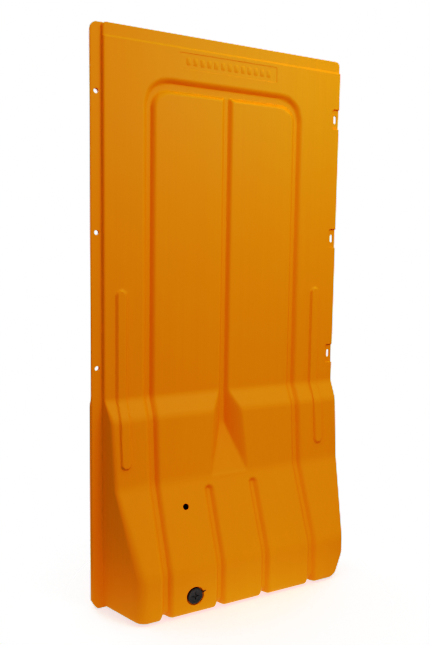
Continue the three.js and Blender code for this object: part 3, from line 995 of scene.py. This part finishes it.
class BARRIER_OT_rear_skin(bpy.types.Operator):
    """Make the rear skin with its base, step, channels and lip"""

    bl_idname = "barrier.rear_skin"
    bl_label = "Rear skin"

    def execute(self, context):
        sizes = context.scene.barrier
        skin = grid_object("rear_skin_moulding", rear_rows())
        mesh = skin.data
        rear = max(mesh.polygons, key=lambda face: face.center.y)
        if rear.normal.y < 0:
            mesh.flip_normals()
        use_modifier(skin, "SOLIDIFY", thickness=sizes.wall * 0.8, offset=-1.0, use_even_offset=False)
        keep_inside(skin)
        tools = []
        for level in LINK_LEVELS:
            grow = sizes.wall + SEAM_GAP
            half = ((RIGHT - POCKET_X) + grow, POCKET_HALF + grow)
            middle = (POCKET_X - grow + half[0], level)
            gap = rounded_outline(middle, half, POCKET_RADIUS, 6)
            tools.append(outline_object("gap", gap, FACE_Y + 2 * MM, FACE_Y + LIP_THICKNESS + 1 * MM))
            hole = rounded_outline((LINK_LEFT_X, level), (LINK_RADIUS,) * 2, LINK_RADIUS - 0.01 * MM, 10)
            tools.append(outline_object("hole", hole, FACE_Y - 5 * MM, FACE_Y + 60 * MM))
        cut(skin, tools)
        smooth(skin, 34)
        finish_piece(skin, orange_polyethylene(sizes), "barrier", "moulding", "rear_skin")
        return {"FINISHED"}


THREAD_PITCH = 5 * MM


def thread(root, crest, width=0.34):
    """Radius of a screw thread at a turn and a depth, with flat crests and sloping flanks."""

    def radius_at(turn, depth):
        along = (depth / THREAD_PITCH - turn / (2 * math.pi)) % 1.0
        rise = min(max((0.5 - abs(along - 0.5)) / (0.5 - width), 0.0), 1.0)
        return root + (crest - root) * (1 - rise)

    return radius_at


def threaded_object(name, before, shank, after, radius_at, centre, closed, steps=96):
    """A turned body whose profile has a threaded stretch between depths shank[0] and shank[1]."""
    low, high = shank
    rows = max(2, round((high - low) / (0.45 * MM)))
    places = [low + (high - low) * k / rows for k in range(rows + 1)]
    vertices = []
    for k in range(steps):
        turn = 2 * math.pi * k / steps
        ring = before + [(radius_at(turn, d - low), d) for d in places] + after
        for radius, depth in ring:
            vertices.append((centre[0] + radius * math.cos(turn), centre[1] + depth,
                             centre[2] + radius * math.sin(turn)))
    rings = len(before) + len(places) + len(after)
    faces = []
    for k in range(steps):
        here, there = k * rings, (k + 1) % steps * rings
        for j in range(rings if closed else rings - 1):
            n = (j + 1) % rings
            faces.append((here + j, here + n, there + n, there + j))
    piece = new_object(name, vertices, faces)
    weld(piece)
    faces_out(piece)
    return piece


def soft_corner(a, corner, b, radius, steps=4):
    """Points that round the corner between a and b, in a profile of (radius, depth)."""
    toward_a = Vector(a) - Vector(corner)
    toward_b = Vector(b) - Vector(corner)
    start = Vector(corner) + toward_a.normalized() * radius
    end = Vector(corner) + toward_b.normalized() * radius
    points = []
    for k in range(steps + 1):
        t = k / steps
        points.append(tuple((1 - t) ** 2 * start + 2 * t * (1 - t) * Vector(corner) + t**2 * end))
    return points


def soft_profile(points, radii):
    """A closed profile with each of its corners rounded."""
    made = []
    for k, (corner, radius) in enumerate(zip(points, radii)):
        made += soft_corner(points[k - 1], corner, points[(k + 1) % len(points)], radius)
    return made


class BARRIER_OT_drain_bush(bpy.types.Operator):
    """Make the threaded bush that is moulded into the foot behind the drain's recess"""

    bl_idname = "barrier.drain_bush"
    bl_label = "Drain bush"

    def execute(self, context):
        length = BUSH_HIGH.y - BUSH_LOW.y
        collar = (BUSH_HIGH.x - BUSH_LOW.x) / 2
        tube = collar - 9 * MM
        bore = tube - 3.5 * MM
        front = 5 * MM + SEAM_GAP
        back = front + 4 * MM
        ring = [(bore + 0.9 * MM, 0.0), (tube - 0.6 * MM, 0.0), (tube, 0.6 * MM), (tube, front)]
        ring += [(collar - 0.6 * MM, front), (collar, front + 0.6 * MM), (collar, back - 0.8 * MM)]
        ring += [(collar - 0.8 * MM, back), (tube + 1.2 * MM, back), (tube, back + 1.2 * MM)]
        ring += [(tube, length - 0.8 * MM), (tube - 0.8 * MM, length), (bore + 1.2 * MM, length)]
        inside = threaded_object(
            "drain_bush_fitting", ring, (length - 1.2 * MM, 1.2 * MM), [], bush_thread(bore, length),
            DRAIN, True,
        )
        smooth(inside, 40)
        finish_piece(inside, black_plastic(context.scene.barrier), "barrier", "bush", "drain_bush")
        return {"FINISHED"}


def bush_thread(bore, length):
    """The bush's inner thread, whose ridges never come closer to the plug than the bore."""
    cut_at = thread(bore, bore + 0.9 * MM)

    def radius_at(turn, depth):
        return cut_at(turn, depth + length)

    return radius_at


class BARRIER_OT_drain_seal(bpy.types.Operator):
    """Make the rubber seal under the plug's head, with the pull tab over the recess's edge"""

    bl_idname = "barrier.drain_seal"
    bl_label = "Drain seal"

    def execute(self, context):
        low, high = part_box("drain_seal")
        front, back = low.y - DRAIN.y, high.y - DRAIN.y
        inner, outer = 21 * MM, 28.5 * MM
        middle = (front + back) / 2
        corners = [(inner, front), (outer, front), (outer, back), (inner, back)]
        ring = turned_object("drain_seal_ring", soft_profile(corners, [0.9 * MM] * 4), DRAIN, 96)
        faces_out(ring)
        tab = self.tab(middle)
        cut(ring, [tab], "UNION")
        smooth(ring, 40)
        finish_piece(ring, black_rubber(context.scene.barrier), "drain_seal", "seal", "drain_seal")
        return {"FINISHED"}

    def tab(self, middle):
        """A strip that bends out of the recess and lies over its edge."""
        face = FACE_Y - FOOT_OUT - DRAIN.y
        route = [(26.5 * MM, middle), (29.3 * MM, middle), (30.5 * MM, middle - 1.4 * MM),
                 (30.9 * MM, face + 2 * MM), (31.9 * MM, face), (34.2 * MM, face - 0.75 * MM),
                 (38 * MM, face - 0.75 * MM), (42.5 * MM, face - 0.7 * MM)]
        half_widths = [2.6, 2.6, 2.5, 2.4, 2.3, 2.2, 2.0, 1.3]
        turn = math.radians(19)
        along = Vector((math.cos(turn), 0.0, math.sin(turn)))
        aside = Vector((-math.sin(turn), 0.0, math.cos(turn)))
        sections = []
        for k, ((radius, depth), half) in enumerate(zip(route, half_widths)):
            before, after = route[max(k - 1, 0)], route[min(k + 1, len(route) - 1)]
            ahead = Vector((after[0] - before[0], after[1] - before[1])).normalized()
            across = Vector((-ahead.y, ahead.x)) * 0.6 * MM
            middle_point = DRAIN + along * radius + Vector((0, depth, 0))
            lift = along * across.x + Vector((0, across.y, 0))
            side = aside * half * MM
            soft = lift * 0.4
            sections.append([middle_point + side + soft, middle_point + side * 0.82 + lift,
                             middle_point - side * 0.82 + lift, middle_point - side + soft,
                             middle_point - side - soft, middle_point - side * 0.82 - lift,
                             middle_point + side * 0.82 - lift, middle_point + side - soft])
        vertices = [v for section in sections for v in section]
        strip = new_object("tab", vertices, loft_faces(len(sections[0]), len(sections)))
        faces_out(strip)
        return strip


class BARRIER_OT_drain_plug(bpy.types.Operator):
    """Make the screw plug with its cross recess and threaded shank"""

    bl_idname = "barrier.drain_plug"
    bl_label = "Drain plug"

    def execute(self, context):
        sizes = context.scene.barrier
        low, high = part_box("drain_plug")
        rim = (high.x - low.x) / 2
        front, end = low.y - DRAIN.y, high.y - DRAIN.y
        back = front + sizes.plug_head
        crest, root = 19.8 * MM, 18.3 * MM
        bore, floor = 14 * MM, end - 17 * MM
        head = [(0.0, front + 0.45 * MM), (rim - 6.2 * MM, front + 0.45 * MM),
                (rim - 5.6 * MM, front + 0.12 * MM), (rim - 4.9 * MM, front)]
        head += soft_corner((0, front), (rim, front), (rim, back), 1.3 * MM, 5)
        head += [(rim, back - 0.5 * MM), (rim - 0.5 * MM, back), (root + 2.4 * MM, back),
                 (root, back + 1.6 * MM)]
        tip = [(root - 0.9 * MM, end), (bore + 0.6 * MM, end), (bore, end - 0.6 * MM),
               (bore, floor + 1 * MM), (bore - 1 * MM, floor), (0.0, floor)]
        plug = threaded_object(
            "drain_plug_turned", head, (back + 2.4 * MM, end - 1.0 * MM), tip, thread(root, crest),
            DRAIN, False,
        )
        cut(plug, [self.cross(front)])
        smooth(plug, 38)
        finish_piece(plug, black_plastic(sizes), "drain_plug", "plug", "drain_plug")
        return {"FINISHED"}

    def cross(self, front):
        """A tapered cross recess with a round middle, narrower towards its floor."""
        outlines = []
        for half, width, depth in ((13.6, 3.1, -2.0), (13.2, 2.7, 0.6), (12.2, 2.1, 3.4), (11.4, 1.5, 3.9)):
            outline = []
            for quarter in range(4):
                turn = math.pi / 2 * quarter
                shape = [(half, -width * 0.55), (half + 0.5, -width * 0.25), (half + 0.5, width * 0.25),
                         (half, width * 0.55), (6.0, width), (width + 2.0, width + 0.5),
                         (width + 0.9, width + 0.9), (width + 0.5, width + 2.0)]
                for a, b in shape:
                    outline.append((DRAIN.x + (a * math.cos(turn) - b * math.sin(turn)) * MM,
                                    DRAIN.z + (a * math.sin(turn) + b * math.cos(turn)) * MM))
            outlines.append((outline, DRAIN.y + front + depth * MM))
        return lofted_object("cross", [o for o, _ in outlines], [place for _, place in outlines])


# --------------------------------------------------------------------------------------------------
# Stage


FOCAL_LENGTH = 37.863
CAMERA_PLACE = (-1.18676, -2.12594, 1.26547)
CAMERA_AZIMUTH = math.radians(-27.69)
CAMERA_ELEVATION = math.radians(6.02)
CAMERA_ROLL = math.radians(0.811)


def camera_matrix():
    a, e, r = CAMERA_AZIMUTH, CAMERA_ELEVATION, CAMERA_ROLL
    right = Vector((math.cos(a), math.sin(a), 0.0))
    back = Vector((math.sin(a) * math.cos(e), -math.cos(a) * math.cos(e), math.sin(e)))
    up = back.cross(right)
    turned_right = math.cos(r) * right + math.sin(r) * up
    turned_up = math.cos(r) * up - math.sin(r) * right
    matrix = Matrix((turned_right, turned_up, back)).transposed().to_4x4()
    matrix.translation = CAMERA_PLACE
    return matrix


def add_lamp(name, place, target, size, power, colour=(1.0, 1.0, 1.0)):
    lamp = bpy.data.lights.new(name, "AREA")
    lamp.shape = "RECTANGLE"
    lamp.size, lamp.size_y = size
    lamp.energy = power
    lamp.color = colour
    holder = bpy.data.objects.new(name, lamp)
    bpy.context.scene.collection.objects.link(holder)
    holder.location = place
    holder.rotation_euler = (Vector(target) - Vector(place)).to_track_quat("-Z", "Y").to_euler()
    holder.visible_camera = False
    return holder


FLOOR_Z = -0.5 * MM
FLOOR_REACH = 9.0


def studio_world(sizes):
    """Soft surroundings that are dimmer from below, in front of a plain white backdrop."""
    world = bpy.data.worlds.new("studio")
    world.use_nodes = True
    nodes, links = world.node_tree.nodes, world.node_tree.links
    downwards = nodes.new("ShaderNodeVectorMath")
    downwards.operation = "DOT_PRODUCT"
    downwards.inputs[1].default_value = (0, 0, -1)
    links.new(nodes.new("ShaderNodeTexCoord").outputs["Generated"], downwards.inputs[0])
    turn = nodes.new("ShaderNodeMapRange")
    turn.interpolation_type = "SMOOTHSTEP"
    ends = {"From Min": -0.4, "From Max": 0.4, "To Min": 1.0, "To Max": sizes.dim_floor}
    for socket, value in ends.items():
        turn.inputs[socket].default_value = value
    links.new(downwards.outputs["Value"], turn.inputs["Value"])
    scaled = nodes.new("ShaderNodeMath")
    scaled.operation = "MULTIPLY"
    scaled.inputs[1].default_value = sizes.ambient
    links.new(turn.outputs["Result"], scaled.inputs[0])
    backdrop = nodes.new("ShaderNodeMix")
    backdrop.inputs["B"].default_value = 1.0
    links.new(nodes.new("ShaderNodeLightPath").outputs["Is Camera Ray"], backdrop.inputs["Factor"])
    links.new(scaled.outputs[0], backdrop.inputs["A"])
    links.new(backdrop.outputs["Result"], nodes["Background"].inputs["Strength"])
    nodes["Background"].inputs["Color"].default_value = (1, 1, 1, 1)
    return world


def set_tone(view):
    """A strong curve on each channel: it lifts the middle tones, holds back the lights and keeps white."""
    view.view_transform = "Standard"
    view.use_curve_mapping = True
    curve = view.curve_mapping.curves[3]
    for dark, light in TONE_CURVE:
        curve.points.new(dark, light)
    view.curve_mapping.update()


TONE_CURVE = [
    (0.02, 0.007), (0.10, 0.08), (0.16, 0.155), (0.27, 0.30), (0.34, 0.43), (0.41, 0.55), (0.50, 0.605),
    (0.64, 0.675), (0.84, 0.755), (0.95, 0.95),
]


class BARRIER_OT_stage(bpy.types.Operator):
    """Make the camera, the pale floor, the bright surroundings and the lamps"""

    bl_idname = "barrier.stage"
    bl_label = "Stage"

    def execute(self, context):
        scene = context.scene
        sizes = scene.barrier
        camera = bpy.data.cameras.new("camera")
        camera.lens = FOCAL_LENGTH
        camera.sensor_width = 36.0
        camera.sensor_fit = "AUTO"
        holder = bpy.data.objects.new("camera", camera)
        scene.collection.objects.link(holder)
        holder.matrix_world = camera_matrix()
        scene.camera = holder

        corners = ((-1, -1), (1, -1), (1, 1), (-1, 1))
        sheet = [(a * FLOOR_REACH, b * FLOOR_REACH, FLOOR_Z) for a, b in corners]
        floor = new_object("studio_floor", sheet, [(0, 1, 2, 3)])
        floor.data.materials.append(pale_floor(sizes))
        scene.world = studio_world(sizes)
        set_tone(scene.view_settings)

        # The key is close to the panel's top, so the light falls off towards the foot.
        add_lamp("key", (0.65, -1.5, 2.35), (0, 0, 1.8), (1.0, 1.0), sizes.key_power)
        add_lamp("top", (0.3, -0.9, 4.2), (0, 0, 0.8), (2.5, 2.5), sizes.fill_power)
        add_lamp("rear", (-1.4, 3.4, 2.6), (0, 0, 1.0), (2.5, 2.5), sizes.fill_power * 4)
        return {"FINISHED"}


# --------------------------------------------------------------------------------------------------
# Panel and registration


PIECE_OPERATORS = (
    BARRIER_OT_stage,
    BARRIER_OT_front_skin,
    BARRIER_OT_rear_skin,
    BARRIER_OT_drain_bush,
    BARRIER_OT_drain_seal,
    BARRIER_OT_drain_plug,
)


class BARRIER_PT_pieces(bpy.types.Panel):
    """Lists the barrier's sizes and the operators that make its pieces"""

    bl_idname = "BARRIER_PT_pieces"
    bl_label = "Water Filled Barrier"
    bl_space_type = "VIEW_3D"
    bl_region_type = "UI"
    bl_category = "Barrier"

    def draw(self, context):
        sizes = context.scene.barrier
        for name in BarrierSizes.__annotations__:
            self.layout.prop(sizes, name)
        for operator in PIECE_OPERATORS:
            self.layout.operator(operator.bl_idname)


CLASSES = (BarrierSizes, *PIECE_OPERATORS, BARRIER_PT_pieces)


def register():
    for kind in CLASSES:
        bpy.utils.register_class(kind)
    bpy.types.Scene.barrier = PointerProperty(type=BarrierSizes)


def unregister():
    del bpy.types.Scene.barrier
    for kind in reversed(CLASSES):
        bpy.utils.unregister_class(kind)


def main():
    register()
    bpy.ops.barrier.stage()
    bpy.ops.barrier.front_skin()
    bpy.ops.barrier.rear_skin()
    bpy.ops.barrier.drain_bush()
    bpy.ops.barrier.drain_seal()
    bpy.ops.barrier.drain_plug()


if __name__ == "__main__":
    main()
